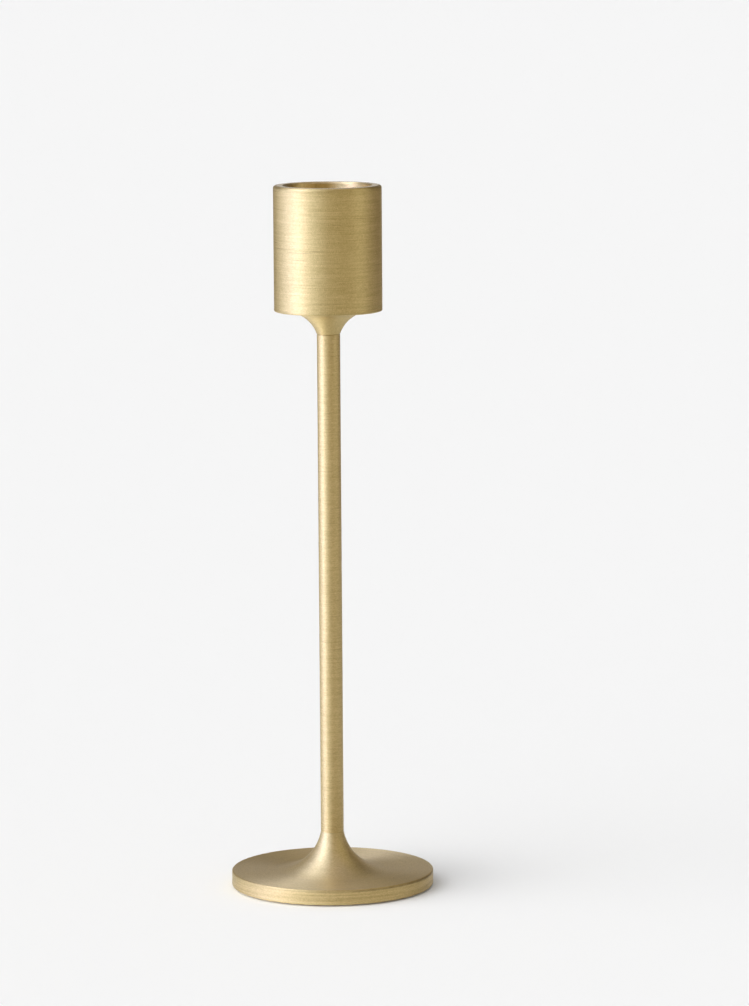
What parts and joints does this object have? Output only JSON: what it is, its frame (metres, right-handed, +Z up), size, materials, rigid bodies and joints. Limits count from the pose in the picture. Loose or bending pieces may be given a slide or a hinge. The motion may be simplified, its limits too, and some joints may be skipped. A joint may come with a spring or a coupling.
{
  "type": "candlestick",
  "caption": "Turned brass candlestick: round base flaring up into a slim straight stem, with a straight-sided cup bored for a taper candle; base, stem and cup unscrew.",
  "frame": {"origin": "on the floor, at the centre of the felt pad's underside", "axes": "+Z up along the candlestick's axis; it is round, so +X and +Y are any two directions square to it"},
  "size_m": [0.0528, 0.0528, 0.1838],
  "materials": {
    "brass": "satin, brushed in fine rings round the axis",
    "felt": "dense matt felt",
    "stud_steel": "bright rolled thread"
  },
  "bodies": {
    "base": {"base": "brass", "base_pad": "felt"},
    "base_stud": {"base_stud": "stud_steel"},
    "stem": {"stem": "brass"},
    "cup_stud": {"cup_stud": "stud_steel"},
    "cup": {"candle_cup": "brass"}
  },
  "joints": [
    {"name": "stem_turn", "type": "hinge", "parent": "base", "child": "base_stud", "pos_m": [0, 0, 0.0144], "axis": [0, 0, 1], "range_deg": [0, 3960]},
    {"name": "stem_rise", "type": "slide", "parent": "base_stud", "child": "stem", "axis": [0, 0, 1], "range_m": [0, 0.0077]},
    {"name": "cup_turn", "type": "hinge", "parent": "stem", "child": "cup_stud", "pos_m": [0, 0, 0.1453], "axis": [0, 0, 1], "range_deg": [0, 3960]},
    {"name": "cup_rise", "type": "slide", "parent": "cup_stud", "child": "cup", "axis": [0, 0, 1], "range_m": [0, 0.0077]}
  ],
  "couplings": [
    {"joint": "stem_turn", "follows": "stem_rise", "rad_per_m": 8976},
    {"joint": "cup_turn", "follows": "cup_rise", "rad_per_m": 8976}
  ]
}
